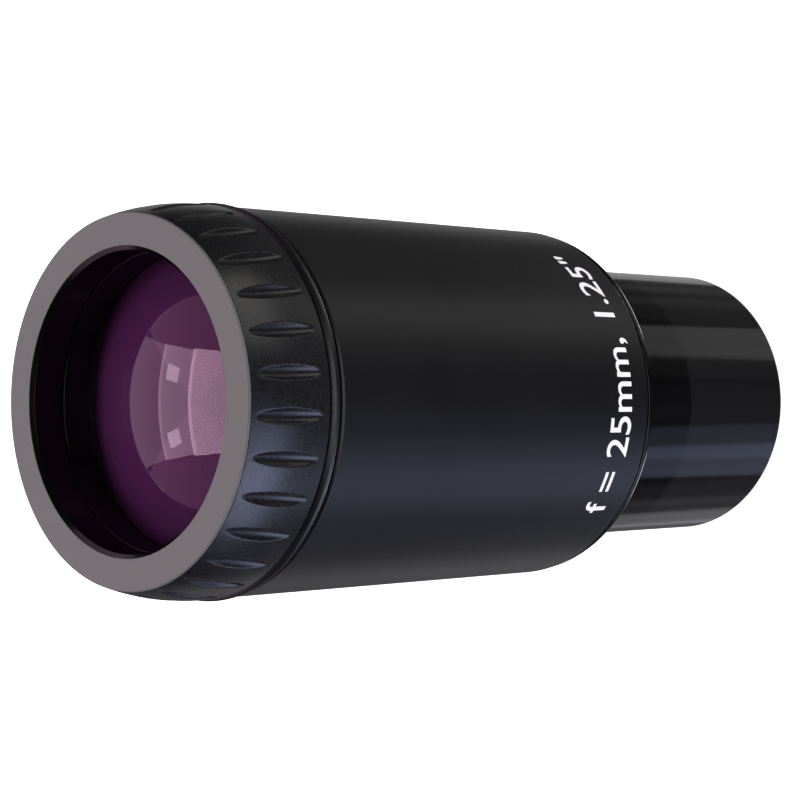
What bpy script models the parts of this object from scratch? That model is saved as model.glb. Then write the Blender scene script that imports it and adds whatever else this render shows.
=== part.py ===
"""Telescope eyepiece with a twist-up eyecup, as separate turned pieces.

The eyepiece stands on the open end of its nosepiece. The optical axis is +Z, towards the eye,
and the origin is where that axis meets the nosepiece's end. Lengths are in metres, and every
height is measured from the nosepiece's end.

Radii are stacked from the eye lens outwards and heights from the nosepiece upwards, so each
piece takes its fit from its neighbour's size and the one clearance GAP.
"""

import math

import bmesh
import bpy
from mathutils import Matrix

# Clearance between pieces that touch, seat or slide.
GAP = 0.0003

# Facets round the outside pieces, the inside pieces and the small screws.
OUTER_STEPS = 48
INNER_STEPS = 36
SCREW_STEPS = 12

# Nosepiece, the standard 1.25 inch push fit with a filter thread in its mouth.
NOSE_DIAMETER = 0.0317
NOSE_LENGTH = 0.0305
NOSE_BORE = 0.0289
FILTER_BORE = 0.0282
FILTER_THREAD_LENGTH = 0.0065
NOSE_CHAMFER = 0.0004

# Rear ring, which closes the body shell and holds the nosepiece.
REAR_FLANGE = 0.00075
REAR_SET_BACK = 0.00015
REAR_WALL = 0.0011
SPIGOT_LENGTH = 0.0097

# Field stop, a knife-edged ring just below the nosepiece's upper end.
FIELD_STOP_OPENING = 0.0212
FIELD_STOP_BEVEL = 0.0010
FIELD_STOP_HEIGHT = 0.0020
FIELD_STOP_DEPTH = 0.0017

# Body shell.
BODY_LENGTH = 0.0469
BODY_WALL = 0.0011
BODY_CHAMFER = 0.0002
LEDGE_THICKNESS = 0.0040
LEDGE_STEP = 0.0005

# Collar ring, a convex bead between the body shell and the eyecup.
COLLAR_HEIGHT = 0.00115
COLLAR_BEAD = 0.0004
COLLAR_EDGE_SET_BACK = 0.00015
SKIRT_LENGTH = 0.0030
SKIRT_WALL = 0.0007

# Eye doublet, with its strongly curved crown outwards.
EYE_LENS_DIAMETER = 0.0304
EYE_LENS_RECESS = 0.0043
EYE_OUTER_CURVE = 0.0337
EYE_CEMENT_CURVE = 0.0300
EYE_CROWN_EDGE = 0.00374
EYE_FLINT_THICKNESS = 0.0024

# Field doublet, smaller, with its crown towards the nosepiece.
FIELD_LENS_DIAMETER = 0.0260
FIELD_OUTER_CURVE = 0.0300
FIELD_CEMENT_CURVE = 0.0240
FIELD_CROWN_EDGE = 0.00271
FIELD_FLINT_THICKNESS = 0.0024
SPACER_HEIGHT = 0.0012
SPACER_WALL = 0.0011
LENS_ARC_POINTS = 5

# Lens cell and the two rings that hold the doublets in it.
CELL_WALL = 0.00095
EYE_RING_LIP = 0.0003
EYE_RING_WALL = 0.0006
FIELD_RING_WALL = 0.0016
FIELD_RING_HEIGHT = 0.0025
SPANNER_SLOT_WIDTH = 0.0012
SPANNER_SLOT_DEPTH = 0.0008

# Eyecup: sleeve, grip ring and face ring.
SLEEVE_WALL = 0.0010
ROOF_THICKNESS = 0.0029
FLANGE_STEP = 0.0007
FLANGE_HEIGHT = 0.0064
GRIP_HEIGHT = 0.0082
GRIP_PROUD = 0.00005
GRIP_CROWN_RADIUS = 0.0247
GRIP_WIDEST_UP = 0.0009
GRIP_EDGE = 0.00025
GRIP_ARC_POINTS = 5
FACE_THICKNESS = 0.0006
FACE_CHAMFER = 0.00045

# Notches round the grip ring, each cut by a spindle that lies along the ring's slope.
NOTCH_COUNT = 30
NOTCH_PHASE = math.radians(2.2)
NOTCH_SPINDLE_RADIUS = 0.00075
NOTCH_SPINDLE_HALF_LENGTH = 0.0062
NOTCH_LIFT = 0.0002
NOTCH_CENTRE_UP = 0.0046
NOTCH_STEPS = 8
NOTCH_ARC_POINTS = 6

# Twist-up motion: guide screws in the sleeve ride in helical grooves in the lens cell.
EYECUP_LIFT = 0.0080
EYECUP_TWIST = math.radians(100.0)
GUIDE_COUNT = 3
GUIDE_RADIUS = 0.0008
GUIDE_ENGAGEMENT = 0.0004
GUIDE_SINK = 0.0002
GUIDE_CHAMFER = 0.00015
GUIDE_SLOT_WIDTH = 0.0004
GUIDE_SLOT_DEPTH = 0.0004
GUIDE_PHASE = math.radians(35.0)
GUIDE_EDGE = 0.0020
CAM_EXTRA = 0.0001
CAM_WALL = 0.0012
CAM_FLOOR = 0.0005
CAM_STAND_OFF = 0.0001
CAM_POINTS = 12

# Friction O-ring, which stands in a groove of the sleeve and drags on the body shell.
O_RING_SECTION = 0.0008
O_RING_EDGE = 0.0009
O_RING_STEPS = 6

# How far a cutter runs past the surface it opens.
CUT_PAST = 0.001


def sag(curve, radius):
    """How far a spherical surface falls from its pole at this radius."""
    return curve - math.sqrt(curve * curve - radius * radius)


# Radii, from the lens cell outwards. Its wall also leaves a floor under the cam grooves.
CAM_R = GUIDE_RADIUS + GAP + CAM_EXTRA
EYE_LENS_R = EYE_LENS_DIAMETER / 2
FIELD_LENS_R = FIELD_LENS_DIAMETER / 2
EYE_BORE_R = EYE_LENS_R + GAP
FIELD_BORE_R = FIELD_LENS_R + GAP
CELL_R = max(EYE_BORE_R + CELL_WALL, FIELD_BORE_R + CAM_R + CAM_FLOOR)
EYE_OPENING_R = EYE_LENS_R - EYE_RING_LIP
EYE_RING_R = EYE_OPENING_R + EYE_RING_WALL
SLEEVE_BORE_R = CELL_R + GAP
SLEEVE_R = SLEEVE_BORE_R + SLEEVE_WALL
FLANGE_R = SLEEVE_R + FLANGE_STEP
O_RING_GROOVE_R = FLANGE_R - O_RING_SECTION - GAP
COLLAR_BORE_R = SLEEVE_R + GAP
SKIRT_R = COLLAR_BORE_R + SKIRT_WALL
GUIDE_BORE_R = FLANGE_R + GAP
SKIRT_BORE_R = SKIRT_R + GAP

# Radii at the rear, from the nosepiece outwards.
NOSE_R = NOSE_DIAMETER / 2
NOSE_BORE_R = NOSE_BORE / 2
FILTER_BORE_R = FILTER_BORE / 2
FIELD_STOP_R = NOSE_BORE_R - GAP
REAR_BORE_R = NOSE_R + GAP
SPIGOT_R = REAR_BORE_R + REAR_WALL
BODY_REAR_BORE_R = SPIGOT_R + GAP

# The body shell's wall stands outside whichever bore is wider.
CELL_SEAT_R = CELL_R + GAP
BODY_R = max(GUIDE_BORE_R, BODY_REAR_BORE_R) + BODY_WALL
REAR_FLANGE_R = BODY_R - REAR_SET_BACK
GRIP_R = BODY_R + GRIP_PROUD
LEDGE_R = min(FIELD_BORE_R, BODY_REAR_BORE_R) - LEDGE_STEP

# Heights, from the nosepiece's end upwards.
REAR_FLANGE_TOP = NOSE_LENGTH + REAR_FLANGE
SPIGOT_TOP = REAR_FLANGE_TOP + SPIGOT_LENGTH
BODY_BOTTOM = REAR_FLANGE_TOP + GAP
BODY_TOP = BODY_BOTTOM + BODY_LENGTH
LEDGE_BOTTOM = SPIGOT_TOP + GAP
LEDGE_TOP = LEDGE_BOTTOM + LEDGE_THICKNESS
COLLAR_BOTTOM = BODY_TOP + GAP
COLLAR_TOP = COLLAR_BOTTOM + COLLAR_HEIGHT
SKIRT_BOTTOM = COLLAR_BOTTOM - SKIRT_LENGTH
GRIP_BOTTOM = COLLAR_TOP + GAP
GRIP_TOP = GRIP_BOTTOM + GRIP_HEIGHT
FACE_BOTTOM = GRIP_TOP + GAP
FACE_TOP = FACE_BOTTOM + FACE_THICKNESS
ROOF_BOTTOM = GRIP_TOP - ROOF_THICKNESS

# Thicknesses of the crowns at their poles, from their edges and their two curves.
EYE_CROWN_SAGS = sag(EYE_OUTER_CURVE, EYE_LENS_R) + sag(EYE_CEMENT_CURVE, EYE_LENS_R)
EYE_CROWN_THICKNESS = EYE_CROWN_EDGE + EYE_CROWN_SAGS
FIELD_CROWN_SAGS = sag(FIELD_OUTER_CURVE, FIELD_LENS_R) + sag(FIELD_CEMENT_CURVE, FIELD_LENS_R)
FIELD_CROWN_THICKNESS = FIELD_CROWN_EDGE + FIELD_CROWN_SAGS

# Heights of the lenses, from the eye lens's outer pole down.
CELL_TOP = ROOF_BOTTOM - GAP
CELL_BOTTOM = LEDGE_TOP + GAP
EYE_CROWN_POLE = FACE_TOP - EYE_LENS_RECESS
EYE_CEMENT_POLE = EYE_CROWN_POLE - EYE_CROWN_THICKNESS
EYE_FLINT_BOTTOM = EYE_CEMENT_POLE - GAP - EYE_FLINT_THICKNESS
CELL_STEP = EYE_FLINT_BOTTOM - GAP
FIELD_FLINT_TOP = CELL_STEP - SPACER_HEIGHT - GAP
FIELD_CEMENT_POLE = FIELD_FLINT_TOP - FIELD_FLINT_THICKNESS
FIELD_CROWN_POLE = FIELD_CEMENT_POLE - GAP - FIELD_CROWN_THICKNESS

# Heights of the eyecup's guide, from the top of its travel down.
GUIDE_HEIGHT = CELL_STEP - CAM_WALL - CAM_R - EYECUP_LIFT
SLEEVE_BOTTOM = GUIDE_HEIGHT - GUIDE_EDGE
FLANGE_TOP = SLEEVE_BOTTOM + FLANGE_HEIGHT
GUIDE_FLOOR = SLEEVE_BOTTOM - GAP
O_RING_GROOVE_TOP = FLANGE_TOP - O_RING_EDGE
O_RING_GROOVE_BOTTOM = O_RING_GROOVE_TOP - O_RING_SECTION - 2 * GAP


def clear_scene():
    """Removes what the scene starts with."""
    for obj in list(bpy.context.scene.objects):
        bpy.data.objects.remove(obj)


def new_collection(name):
    collection = bpy.data.collections.new(name)
    bpy.context.scene.collection.children.link(collection)
    return collection


def new_finish(name, colour, roughness, metallic):
    """A Principled material; the colour is linear."""
    finish = bpy.data.materials.new(name)
    finish.use_nodes = True
    shader = finish.node_tree.nodes["Principled BSDF"]
    shader.inputs["Base Color"].default_value = (*colour, 1.0)
    shader.inputs["Roughness"].default_value = roughness
    shader.inputs["Metallic"].default_value = metallic
    finish.diffuse_color = (*colour, 1.0)
    return finish


def turned(name, outline, finish, collection, steps, base=None):
    """Turns an outline of (radius, height) points about +Z.

    The outline runs down the outer side and back up the inner side. It is closed, unless it
    starts and ends on the axis. The object's origin is on the axis at its lowest height.
    """
    if base is None:
        base = min(height for _, height in outline)
    points = [(radius, 0.0, height - base) for radius, height in outline]
    edges = [(index, index + 1) for index in range(len(points) - 1)]
    if outline[0][0] > 0.0:
        edges.append((len(points) - 1, 0))
    mesh = bpy.data.meshes.new(name)
    mesh.from_pydata(points, edges, [])
    obj = bpy.data.objects.new(name, mesh)
    obj.location.z = base
    collection.objects.link(obj)
    screw = obj.modifiers.new("turn", "SCREW")
    screw.steps = steps
    screw.render_steps = steps
    screw.use_merge_vertices = True
    screw.merge_threshold = 0.00001
    screw.use_smooth_shade = False
    if finish:
        mesh.materials.append(finish)
    return obj


def as_cutter(obj):
    obj.hide_render = True
    obj.display_type = "WIRE"
    return obj


def cut(obj, cutter, name):
    boolean = obj.modifiers.new(name, "BOOLEAN")
    boolean.operation = "DIFFERENCE"
    boolean.solver = "EXACT"
    boolean.object = cutter


def box_cutter(name, size, centre, angle, collection):
    """A box of full sizes `size`, centred at `centre` and then turned about +Z by `angle`."""
    bpy.ops.mesh.primitive_cube_add(size=1.0)
    box = bpy.context.active_object
    box.name = name
    box.data.transform(matrix_of(size, centre))
    box.rotation_euler.z = angle
    return move_to(as_cutter(box), collection)


def matrix_of(size, centre):
    """Scales a unit box to `size` and places it at `centre`, inside its own mesh."""
    return Matrix.Translation(centre) @ Matrix.Diagonal((*size, 1.0))


def move_to(obj, collection):
    """Takes an object that an operator made out of the active collection and into this one."""
    for owner in list(obj.users_collection):
        owner.objects.unlink(obj)
    collection.objects.link(obj)
    return obj


def lens_arc(pole, curve, rise, semi_diameter):
    """Points of a spherical surface from the axis to the rim.

    `rise` is +1 where the surface rises towards the rim and -1 where it falls.
    """
    points = []
    for index in range(LENS_ARC_POINTS):
        radius = semi_diameter * index / (LENS_ARC_POINTS - 1)
        points.append((radius, pole + rise * sag(curve, radius)))
    return points


def grip_radius(height):
    """The eyecup's convex side: a shallow arc, widest a little above the grip ring's foot."""
    from_widest = height - (GRIP_BOTTOM + GRIP_WIDEST_UP)
    return GRIP_R - sag(GRIP_CROWN_RADIUS, from_widest)


def cam_point(angle, share):
    """A point of a cam groove's centre line, a helix just outside the lens cell's surface."""
    radius = CELL_R + CAM_STAND_OFF
    turn = angle + EYECUP_TWIST * share
    height = GUIDE_HEIGHT + EYECUP_LIFT * share
    return (radius * math.cos(turn), radius * math.sin(turn), height)


def cam_cutter(name, angle, collection):
    """A round-bottomed helical groove, run on at both ends to clear the guide screw."""
    run = math.hypot(CELL_R * EYECUP_TWIST, EYECUP_LIFT)
    past = CAM_R / run
    curve = bpy.data.curves.new(name, "CURVE")
    curve.dimensions = "3D"
    curve.bevel_depth = CAM_R
    curve.bevel_resolution = 1
    curve.use_fill_caps = True
    spline = curve.splines.new("POLY")
    spline.points.add(CAM_POINTS - 1)
    for index, point in enumerate(spline.points):
        share = -past + (1.0 + 2.0 * past) * index / (CAM_POINTS - 1)
        point.co = (*cam_point(angle, share), 1.0)
    path = bpy.data.objects.new(name + "_path", curve)
    collection.objects.link(path)
    return mesh_from_curve(path, name, collection)


def mesh_from_curve(path, name, collection):
    """Makes a curve a mesh with its caps welded, and removes the curve."""
    bpy.context.view_layer.update()
    graph = bpy.context.evaluated_depsgraph_get()
    mesh = bpy.data.meshes.new_from_object(path.evaluated_get(graph))
    shape = bmesh.new()
    shape.from_mesh(mesh)
    bmesh.ops.remove_doubles(shape, verts=shape.verts, dist=0.00001)
    shape.to_mesh(mesh)
    shape.free()
    obj = bpy.data.objects.new(name, mesh)
    obj.matrix_world = path.matrix_world
    collection.objects.link(obj)
    bpy.data.objects.remove(path)
    return as_cutter(obj)


def nosepiece(finish, parts):
    thread_top = FILTER_THREAD_LENGTH
    outline = [
        (NOSE_R, SPIGOT_TOP),
        (NOSE_R, NOSE_CHAMFER),
        (NOSE_R - NOSE_CHAMFER, 0.0),
        (FILTER_BORE_R + NOSE_CHAMFER, 0.0),
        (FILTER_BORE_R, NOSE_CHAMFER),
        (FILTER_BORE_R, thread_top),
        (NOSE_BORE_R, thread_top),
        (NOSE_BORE_R, SPIGOT_TOP),
    ]
    return turned("nosepiece", outline, finish, parts, OUTER_STEPS)


def rear_ring(finish, parts):
    edge = BODY_CHAMFER
    outline = [
        (SPIGOT_R, SPIGOT_TOP),
        (SPIGOT_R, REAR_FLANGE_TOP),
        (REAR_FLANGE_R - edge, REAR_FLANGE_TOP),
        (REAR_FLANGE_R, REAR_FLANGE_TOP - edge),
        (REAR_FLANGE_R, NOSE_LENGTH + edge),
        (REAR_FLANGE_R - edge, NOSE_LENGTH),
        (REAR_BORE_R, NOSE_LENGTH),
        (REAR_BORE_R, SPIGOT_TOP),
    ]
    return turned("rear_ring", outline, finish, parts, OUTER_STEPS)


def field_stop_ring(finish, parts):
    """Its opening narrows upwards to a knife edge, which bounds the view."""
    top = SPIGOT_TOP - FIELD_STOP_DEPTH
    bottom = top - FIELD_STOP_HEIGHT
    opening = FIELD_STOP_OPENING / 2
    outline = [
        (FIELD_STOP_R, top),
        (FIELD_STOP_R, bottom),
        (opening + FIELD_STOP_BEVEL, bottom),
        (opening, top),
    ]
    return turned("field_stop_ring", outline, finish, parts, INNER_STEPS)


def body_shell(finish, parts):
    outline = [
        (BODY_R - BODY_CHAMFER, BODY_TOP),
        (BODY_R, BODY_TOP - BODY_CHAMFER),
        (BODY_R, BODY_BOTTOM + BODY_CHAMFER),
        (BODY_R - BODY_CHAMFER, BODY_BOTTOM),
        (BODY_REAR_BORE_R, BODY_BOTTOM),
        (BODY_REAR_BORE_R, LEDGE_BOTTOM),
        (LEDGE_R, LEDGE_BOTTOM),
        (LEDGE_R, LEDGE_TOP),
        (CELL_SEAT_R, LEDGE_TOP),
        (CELL_SEAT_R, GUIDE_FLOOR),
        (GUIDE_BORE_R, GUIDE_FLOOR),
        (GUIDE_BORE_R, SKIRT_BOTTOM - GAP),
        (SKIRT_BORE_R, SKIRT_BOTTOM - GAP),
        (SKIRT_BORE_R, BODY_TOP),
    ]
    return turned("body_shell", outline, finish, parts, OUTER_STEPS)


def collar_ring(finish, parts):
    """A convex bead with a skirt that fits the body shell and guides the sleeve."""
    edge = BODY_R - COLLAR_EDGE_SET_BACK
    bead = []
    for share in (0.0, 0.25, 0.5, 0.75, 1.0):
        bulge = COLLAR_BEAD * math.sin(math.pi * share)
        bead.append((edge + bulge, COLLAR_TOP - COLLAR_HEIGHT * share))
    outline = bead + [
        (SKIRT_R, COLLAR_BOTTOM),
        (SKIRT_R, SKIRT_BOTTOM),
        (COLLAR_BORE_R, SKIRT_BOTTOM),
        (COLLAR_BORE_R, COLLAR_TOP),
    ]
    return turned("collar_ring", outline, finish, parts, OUTER_STEPS)


def lens_cell(finish, parts, cutters):
    """A tube with two bores, a thread seat for the eye lens ring and the cam grooves."""
    ring_seat = EYE_CROWN_POLE - sag(EYE_OUTER_CURVE, EYE_LENS_R)
    ring_bore = EYE_RING_R + GAP
    outline = [
        (CELL_R, CELL_TOP),
        (CELL_R, CELL_BOTTOM),
        (FIELD_BORE_R, CELL_BOTTOM),
        (FIELD_BORE_R, CELL_STEP),
        (EYE_BORE_R, CELL_STEP),
        (EYE_BORE_R, ring_seat),
        (ring_bore, ring_seat),
        (ring_bore, CELL_TOP),
    ]
    cell = turned("lens_cell", outline, finish, parts, INNER_STEPS)
    for index in range(GUIDE_COUNT):
        name = f"cam_groove_{index + 1}"
        cut(cell, cam_cutter(name, guide_angle(index), cutters), name)
    return cell


def guide_angle(index):
    return GUIDE_PHASE + 2.0 * math.pi * index / GUIDE_COUNT


def eye_crown_lens(glass, parts):
    outline = lens_arc(EYE_CROWN_POLE, EYE_OUTER_CURVE, -1, EYE_LENS_R)
    outline += reversed(lens_arc(EYE_CEMENT_POLE, EYE_CEMENT_CURVE, 1, EYE_LENS_R))
    return turned("eye_crown_lens", outline, glass, parts, INNER_STEPS)


def eye_flint_lens(glass, parts):
    outline = lens_arc(EYE_CEMENT_POLE - GAP, EYE_CEMENT_CURVE, 1, EYE_LENS_R)
    outline += [(EYE_LENS_R, EYE_FLINT_BOTTOM), (0.0, EYE_FLINT_BOTTOM)]
    return turned("eye_flint_lens", outline, glass, parts, INNER_STEPS)


def field_flint_lens(glass, parts):
    outline = [(0.0, FIELD_FLINT_TOP), (FIELD_LENS_R, FIELD_FLINT_TOP)]
    outline += reversed(lens_arc(FIELD_CEMENT_POLE, FIELD_CEMENT_CURVE, -1, FIELD_LENS_R))
    return turned("field_flint_lens", outline, glass, parts, INNER_STEPS)


def field_crown_lens(glass, parts):
    outline = lens_arc(FIELD_CEMENT_POLE - GAP, FIELD_CEMENT_CURVE, -1, FIELD_LENS_R)
    outline += reversed(lens_arc(FIELD_CROWN_POLE, FIELD_OUTER_CURVE, 1, FIELD_LENS_R))
    return turned("field_crown_lens", outline, glass, parts, INNER_STEPS)


def lens_spacer(finish, parts):
    bottom = CELL_STEP - SPACER_HEIGHT
    inner = FIELD_LENS_R - SPACER_WALL
    outline = [(FIELD_LENS_R, CELL_STEP), (FIELD_LENS_R, bottom), (inner, bottom), (inner, CELL_STEP)]
    return turned("lens_spacer", outline, finish, parts, INNER_STEPS)


def eye_lens_ring(finish, parts, cutters):
    """Screws down on the eye crown; its two spanner slots are in its upper edge."""
    bottom = EYE_CROWN_POLE - sag(EYE_OUTER_CURVE, EYE_OPENING_R) + GAP
    outline = [
        (EYE_RING_R, CELL_TOP),
        (EYE_RING_R, bottom),
        (EYE_OPENING_R, bottom),
        (EYE_OPENING_R, CELL_TOP),
    ]
    ring = turned("eye_lens_ring", outline, finish, parts, INNER_STEPS)
    spanner_slots(ring, 2 * EYE_RING_R, CELL_TOP, cutters)
    return ring


def lens_retaining_ring(finish, parts, cutters):
    """Screws up against the field crown; its two spanner slots are in its lower edge."""
    inner = FIELD_LENS_R - FIELD_RING_WALL
    top = FIELD_CROWN_POLE + sag(FIELD_OUTER_CURVE, inner) - GAP
    bottom = top - FIELD_RING_HEIGHT
    outline = [(FIELD_LENS_R, top), (FIELD_LENS_R, bottom), (inner, bottom), (inner, top)]
    ring = turned("lens_retaining_ring", outline, finish, parts, INNER_STEPS)
    spanner_slots(ring, 2 * FIELD_LENS_R, bottom, cutters)
    return ring


def spanner_slots(ring, across, height, cutters):
    """Cuts one bar straight across the ring's edge, which leaves two opposite slots."""
    size = (across + 2 * CUT_PAST, SPANNER_SLOT_WIDTH, 2 * SPANNER_SLOT_DEPTH)
    name = ring.name + "_slots"
    cut(ring, box_cutter(name, size, (0.0, 0.0, height), 0.0, cutters), name)


def eyecup_sleeve(finish, parts, cutters):
    """A tube with a roof over the lens cell and a guide flange at its foot."""
    outline = [
        (SLEEVE_R, GRIP_TOP),
        (SLEEVE_R, FLANGE_TOP),
        (FLANGE_R, FLANGE_TOP),
        (FLANGE_R, O_RING_GROOVE_TOP),
        (O_RING_GROOVE_R, O_RING_GROOVE_TOP),
        (O_RING_GROOVE_R, O_RING_GROOVE_BOTTOM),
        (FLANGE_R, O_RING_GROOVE_BOTTOM),
        (FLANGE_R, SLEEVE_BOTTOM),
        (SLEEVE_BORE_R, SLEEVE_BOTTOM),
        (SLEEVE_BORE_R, ROOF_BOTTOM),
        (EYE_OPENING_R, ROOF_BOTTOM),
        (EYE_OPENING_R, GRIP_TOP),
    ]
    sleeve = turned("eyecup_sleeve", outline, finish, parts, INNER_STEPS)
    radius = GUIDE_RADIUS + GAP
    hole = [(radius, FLANGE_R + CUT_PAST), (radius, SLEEVE_BORE_R - CUT_PAST)]
    for index in range(GUIDE_COUNT):
        name = f"guide_hole_{index + 1}"
        outline = [(0.0, hole[0][1]), *hole, (0.0, hole[1][1])]
        cutter = turned(name, outline, None, cutters, SCREW_STEPS, base=0.0)
        lay_radially(cutter, guide_angle(index))
        cut(sleeve, as_cutter(cutter), name)
    return sleeve


def lay_radially(obj, angle):
    """Turns a piece made along +Z to point outwards at this angle, at the guide's height."""
    obj.location.z = GUIDE_HEIGHT
    obj.rotation_euler = (0.0, math.pi / 2, angle)


def eyecup_grip_ring(finish, parts, cutters):
    foot = GRIP_BOTTOM + GRIP_EDGE
    side = []
    for index in range(GRIP_ARC_POINTS):
        height = GRIP_TOP + (foot - GRIP_TOP) * index / (GRIP_ARC_POINTS - 1)
        side.append((grip_radius(height), height))
    outline = side + [
        (grip_radius(foot) - GRIP_EDGE, GRIP_BOTTOM),
        (COLLAR_BORE_R, GRIP_BOTTOM),
        (COLLAR_BORE_R, GRIP_TOP),
    ]
    grip = turned("eyecup_grip_ring", outline, finish, parts, 2 * NOTCH_COUNT)
    boolean = grip.modifiers.new("notches", "BOOLEAN")
    boolean.operation = "DIFFERENCE"
    boolean.solver = "EXACT"
    boolean.operand_type = "COLLECTION"
    boolean.collection = notch_cutters(cutters)
    return grip


def notch_cutters(cutters):
    """One spindle for each notch, tilted to lie along the slope of the grip ring's side."""
    collection = bpy.data.collections.new("notch_cutters")
    cutters.children.link(collection)
    height = GRIP_BOTTOM + NOTCH_CENTRE_UP
    slope = math.asin((height - GRIP_BOTTOM - GRIP_WIDEST_UP) / GRIP_CROWN_RADIUS)
    radius = grip_radius(height) + NOTCH_LIFT
    outline = []
    for index in range(NOTCH_ARC_POINTS + 1):
        along = 1.0 - 2.0 * index / NOTCH_ARC_POINTS
        width = NOTCH_SPINDLE_RADIUS * (1.0 - along * along)
        outline.append((width, NOTCH_SPINDLE_HALF_LENGTH * along))
    for index in range(NOTCH_COUNT):
        angle = NOTCH_PHASE + 2.0 * math.pi * index / NOTCH_COUNT
        name = f"notch_{index + 1}"
        spindle = turned(name, outline, None, collection, NOTCH_STEPS, base=0.0)
        spindle.location = (radius * math.cos(angle), radius * math.sin(angle), height)
        spindle.rotation_euler = (0.0, -slope, angle)
        as_cutter(spindle)
    return collection


def eyecup_face_ring(finish, parts):
    outline = [
        (grip_radius(FACE_TOP), FACE_TOP),
        (grip_radius(FACE_BOTTOM), FACE_BOTTOM),
        (EYE_OPENING_R, FACE_BOTTOM),
        (EYE_OPENING_R, FACE_TOP - FACE_CHAMFER),
        (EYE_OPENING_R + FACE_CHAMFER, FACE_TOP),
    ]
    return turned("eyecup_face_ring", outline, finish, parts, OUTER_STEPS)


def guide_screw(index, finish, parts, cutters):
    """A headless screw whose dog point rides in a cam groove of the lens cell."""
    tip = CELL_R - GUIDE_ENGAGEMENT
    outer = FLANGE_R - GUIDE_SINK
    outline = [
        (0.0, outer),
        (GUIDE_RADIUS, outer),
        (GUIDE_RADIUS, tip + GUIDE_CHAMFER),
        (GUIDE_RADIUS - GUIDE_CHAMFER, tip),
        (0.0, tip),
    ]
    name = f"guide_screw_{index + 1}"
    screw = turned(name, outline, finish, parts, SCREW_STEPS, base=0.0)
    lay_radially(screw, guide_angle(index))
    size = (2 * GUIDE_SLOT_DEPTH, 4 * GUIDE_RADIUS, GUIDE_SLOT_WIDTH)
    centre = (outer, 0.0, GUIDE_HEIGHT)
    slot = box_cutter(name + "_slot", size, centre, guide_angle(index), cutters)
    cut(screw, slot, "driver_slot")
    return screw


def friction_o_ring(finish, parts):
    height = (O_RING_GROOVE_TOP + O_RING_GROOVE_BOTTOM) / 2
    bpy.ops.mesh.primitive_torus_add(
        major_segments=INNER_STEPS,
        minor_segments=O_RING_STEPS,
        major_radius=FLANGE_R - O_RING_SECTION / 2,
        minor_radius=O_RING_SECTION / 2,
        location=(0.0, 0.0, height),
    )
    ring = bpy.context.active_object
    ring.name = "friction_o_ring"
    ring.data.materials.append(finish)
    return move_to(ring, parts)


def pivot(name, parent, parts):
    """An empty on the optical axis, which carries what moves with one joint."""
    empty = bpy.data.objects.new(name, None)
    empty.empty_display_size = BODY_R
    empty.parent = parent
    parts.objects.link(empty)
    return empty


def build():
    clear_scene()
    parts = new_collection("telescope_eyepiece")
    cutters = new_collection("cutters")

    satin = new_finish("satin_black_anodised", (0.012, 0.012, 0.014), 0.32, 0.0)
    gloss = new_finish("gloss_black_lacquer", (0.006, 0.006, 0.007), 0.10, 0.0)
    matt = new_finish("matt_black_anodised", (0.010, 0.010, 0.010), 0.75, 0.0)
    moulded = new_finish("moulded_black_polymer", (0.013, 0.013, 0.015), 0.42, 0.0)
    grey = new_finish("grey_face_polymer", (0.20, 0.195, 0.19), 0.50, 0.0)
    crown = new_finish("coated_crown_glass", (0.09, 0.03, 0.10), 0.03, 0.0)
    flint = new_finish("flint_glass", (0.10, 0.09, 0.12), 0.03, 0.0)
    steel = new_finish("stainless_steel", (0.55, 0.55, 0.56), 0.30, 1.0)
    nitrile = new_finish("nitrile_rubber", (0.010, 0.010, 0.010), 0.65, 0.0)

    nosepiece(gloss, parts)
    rear_ring(gloss, parts)
    field_stop_ring(matt, parts)
    body_shell(satin, parts)
    collar_ring(satin, parts)
    lens_cell(matt, parts, cutters)
    eye_lens_ring(gloss, parts, cutters)
    eye_crown_lens(crown, parts)
    eye_flint_lens(flint, parts)
    lens_spacer(matt, parts)
    field_flint_lens(flint, parts)
    field_crown_lens(crown, parts)
    lens_retaining_ring(matt, parts, cutters)

    lift = pivot("eyecup_lift", None, parts)
    twist = pivot("eyecup_twist", lift, parts)
    friction_o_ring(nitrile, parts).parent = lift
    eyecup_sleeve(gloss, parts, cutters).parent = twist
    eyecup_grip_ring(moulded, parts, cutters).parent = twist
    eyecup_face_ring(grey, parts).parent = twist
    for index in range(GUIDE_COUNT):
        guide_screw(index, steel, parts, cutters).parent = twist


build()
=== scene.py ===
"""Looks of a telescope eyepiece with a twist-up eyecup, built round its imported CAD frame.

Every turned piece is an outline of (radius, height) points carried once round +Z on a grid of
outline point by turn angle, so it is a function of two parameters. Notches, cam grooves, the
filter thread and the spanner slots are reliefs: functions of turn angle and height that move
the grid's points. Lengths are in metres.
"""

import math

import bmesh
import bpy
import numpy as np
from mathutils import Matrix, Vector


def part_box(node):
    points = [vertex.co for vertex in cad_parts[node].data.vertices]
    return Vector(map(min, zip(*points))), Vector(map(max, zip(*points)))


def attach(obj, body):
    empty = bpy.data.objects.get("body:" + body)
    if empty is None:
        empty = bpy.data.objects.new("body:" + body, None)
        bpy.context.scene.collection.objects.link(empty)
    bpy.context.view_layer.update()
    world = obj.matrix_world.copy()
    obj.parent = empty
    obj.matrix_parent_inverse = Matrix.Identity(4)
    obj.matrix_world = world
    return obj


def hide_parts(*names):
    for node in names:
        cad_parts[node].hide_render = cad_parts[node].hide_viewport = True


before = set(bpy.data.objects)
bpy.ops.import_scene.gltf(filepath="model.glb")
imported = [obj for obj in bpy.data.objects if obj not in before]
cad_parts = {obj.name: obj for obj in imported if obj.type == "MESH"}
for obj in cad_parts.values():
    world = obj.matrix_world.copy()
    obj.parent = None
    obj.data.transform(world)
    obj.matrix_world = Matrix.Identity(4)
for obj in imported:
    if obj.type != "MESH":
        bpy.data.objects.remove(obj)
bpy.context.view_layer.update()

MM = 0.001

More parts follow.
